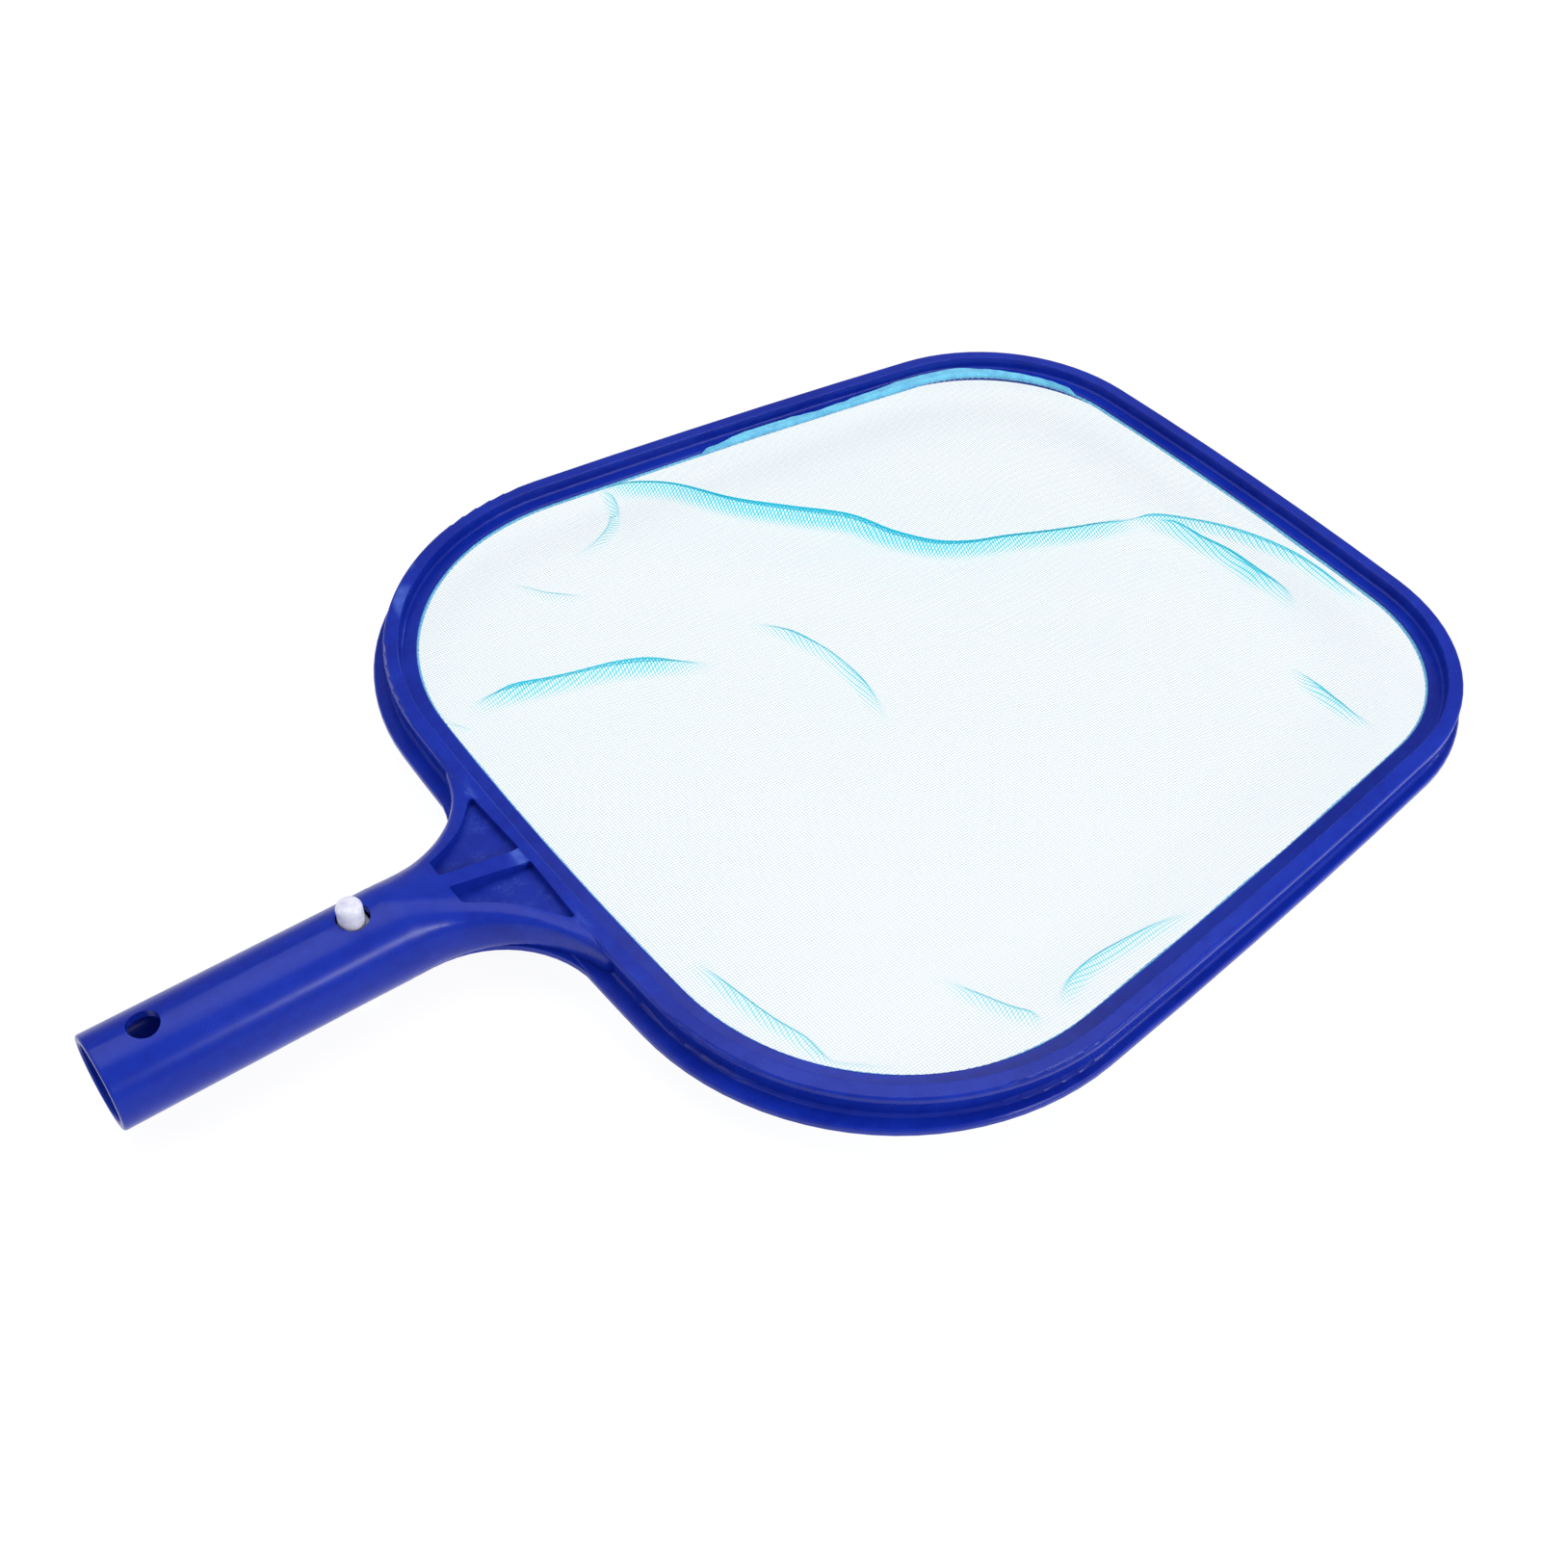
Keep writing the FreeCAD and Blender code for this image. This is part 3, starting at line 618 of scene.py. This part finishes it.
stitch_mat = weave_tape("stitch_thread", srgb(214, 240, 250), srgb(245, 252, 255), srgb(185, 224, 240), 5200.0)
sv = np.vstack(sv)
stitches = mesh_piece("hem_stitches", sv, sf, stitch_mat, {"run": ("FLOAT_VECTOR", sv * MM)})
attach(stitches, "skimmer")

# ------------------------------------------------------------------ loose edge of the net folded up over the far ledge
total = run[-1]
# it runs from the front corner round to the middle of the left side; distances are along the rim, in mm
j0, j1 = int(np.searchsorted(run, 143.0)), int(np.searchsorted(run, 297.0))
sel = np.arange(j0, j1 + 1)
ss = s[sel]
tap = np.clip((ss - 143) / 10, 0, 1) * np.clip((297 - ss) / 8, 0, 1)
reach = np.interp(ss, [143, 152, 160, 168, 175, 182, 187, 192, 200, 213, 224, 233, 241, 247, 252, 258, 267, 277, 283, 288, 293, 297],
                  [0.0, 0.7, 1.2, 2.2, 2.7, 3.9, 5.0, 5.1, 4.9, 4.7, 3.9, 3.3, 2.4, 1.7, 2.2, 3.2, 3.5, 3.1, 2.4, 1.3, 0.6, 0.0])
reach = np.clip(0.75 * reach + tap * (0.28 * swell(ss / 2.2, ss * 0, 21) + 0.15 * swell(ss / 0.9, ss * 0, 22)), -0.4, 5.1) - 0.15
LEDGE_TOP, LEDGE_BACK = U0 + 8.2, U0 + 7.65
cols = 12
fv, fa = [], []
for c in range(cols):
    w = c / (cols - 1)
    if w < 0.25:                                       # up the inner face of the ledge
        q = w / 0.25
        u = -0.62 + 0.22 * q - 0.12 * np.sin(np.pi * q)
        z = zt - 0.2 + (LEDGE_TOP + 0.05 - (zt - 0.2)) * q
        u = np.full(len(sel), u)
        z = np.full(len(sel), z)
    else:
        q = (w - 0.25) / 0.75
        u = -0.4 + (reach + 0.4) * q
        lid = np.where(u < 0.5, LEDGE_TOP - 0.05 - 0.5 * (np.clip(0.5 - u, 0, 0.9) / 0.9) ** 2, LEDGE_TOP + (LEDGE_BACK - LEDGE_TOP) * (u - 0.5) / 4.5)
        z = lid + 0.34 + 0.16 * swell(ss / 3.5, u / 1.6, 31) + 0.35 * q ** 6
    lift = np.clip(tap * 3, 0, 1)
    z = zt - 0.1 + (z - zt + 0.1) * lift
    fv.append(np.c_[pts[sel] + nrm[sel] * u[:, None], z])
    fa.append(np.c_[ss * MM, np.full(len(sel), w * 0.0075), np.zeros(len(sel))])
fv = np.stack(fv, 1)
fa = np.stack(fa, 1)
nn = len(sel)
i = (np.arange(nn - 1)[:, None] * cols + np.arange(cols - 1)[None]).reshape(-1)
ff = np.c_[i, i + cols, i + cols + 1, i + 1]
flap = mesh_piece("net_folded_edge", fv.reshape(-1, 3), ff, weave_tape("folded_net_weave", srgb(102, 212, 250), srgb(190, 244, 254), srgb(74, 182, 234), 1700.0), {"run": ("FLOAT_VECTOR", fa.reshape(-1, 3))})
sol = flap.modifiers.new("thickness", "SOLIDIFY")
sol.thickness, sol.offset = 0.0002, 1.0
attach(flap, "skimmer")

# ------------------------------------------------------------------ CAD pieces: materials
ZF = U0 + 7.6
blue = moulded("royal_blue_moulding", srgb(18, 46, 164), srgb(92, 124, 222), srgb(12, 35, 145),
               pocket=(-0.1125, -0.0855, 0.0295, ZF * MM, 5.3 / 45.0, (frm_lo[0] + 138.8) * MM), sss=0.0)
ring_blue = moulded("clamp_ring_moulding", srgb(28, 50, 150), srgb(90, 118, 205), srgb(20, 38, 122), rough=(0.4, 0.55), edge=0.35)
clear_nylon = nylon("natural_nylon")
for name, mat in (("frame_moulding", blue), ("net_clamp_ring", ring_blue), ("clip_leg_upper", clear_nylon), ("clip_leg_lower", clear_nylon), ("clip_bend", clear_nylon)):
    ob = nodes[name]
    for sl in ob.material_slots:
        sl.material = mat
    if not ob.material_slots:
        ob.data.materials.append(mat)

# ------------------------------------------------------------------ floor and light
fm = Mat("pale_floor")
em = fm.node("ShaderNodeEmission")
em.inputs["Color"].default_value = (1, 1, 1, 1)
em.inputs["Strength"].default_value = 0.92
df = fm.node("ShaderNodeBsdfDiffuse")
fm.link(fm.mix(fm.noise(3.0, 2.0, 0.5), (0.11, 0.11, 0.11), (0.12, 0.12, 0.12)), df.inputs["Color"])
ad = fm.node("ShaderNodeAddShader")
fm.link(em.outputs[0], ad.inputs[0])
fm.link(df.outputs[0], ad.inputs[1])
fm.link(ad.outputs[0], fm.out.inputs[0])
fl = bpy.data.meshes.new("floor")
R = 6.0
fz = cad_lo.z - 0.0004
k = 48
fl.from_pydata([(0, 0, fz)] + [(R * math.cos(2 * math.pi * i / k), R * math.sin(2 * math.pi * i / k), fz) for i in range(k)], [], [(0, 1 + i, 1 + (i + 1) % k) for i in range(k)])
fl.materials.append(fm.m)
floor = bpy.data.objects.new("floor", fl)
scene.collection.objects.link(floor)
floor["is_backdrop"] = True

world = bpy.data.worlds.new("studio")
scene.world = world
world.use_nodes = True
world.node_tree.nodes["Background"].inputs[0].default_value = (1, 1, 1, 1)
world.node_tree.nodes["Background"].inputs[1].default_value = 0.42


def softbox(name, where, target, w, h, power):
    d = bpy.data.lights.new(name, "AREA")
    d.shape, d.size, d.size_y, d.energy = "RECTANGLE", w, h, power
    o = bpy.data.objects.new(name, d)
    scene.collection.objects.link(o)
    o.location = where
    o.rotation_mode = "QUATERNION"
    o.rotation_quaternion = (Vector(target) - Vector(where)).to_track_quat("-Z", "Y")
    return o


softbox("overhead", (0.1, 0.25, 1.5), (0.0, 0.0, 0.0), 1.6, 1.2, 13.0)
softbox("side_strip", (0.39, -1.01, 0.60), (-0.17, 0.0, 0.03), 0.75, 0.16, 8.0)
softbox("left_fill", (-1.1, 0.5, 0.7), (0.0, 0.0, 0.02), 0.8, 0.6, 3.0)

scene.view_settings.view_transform = "Standard"
scene.view_settings.look = "None"
scene.view_settings.exposure = 0.0
scene.view_settings.gamma = 1.0
scene.render.film_transparent = False

lo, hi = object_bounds()
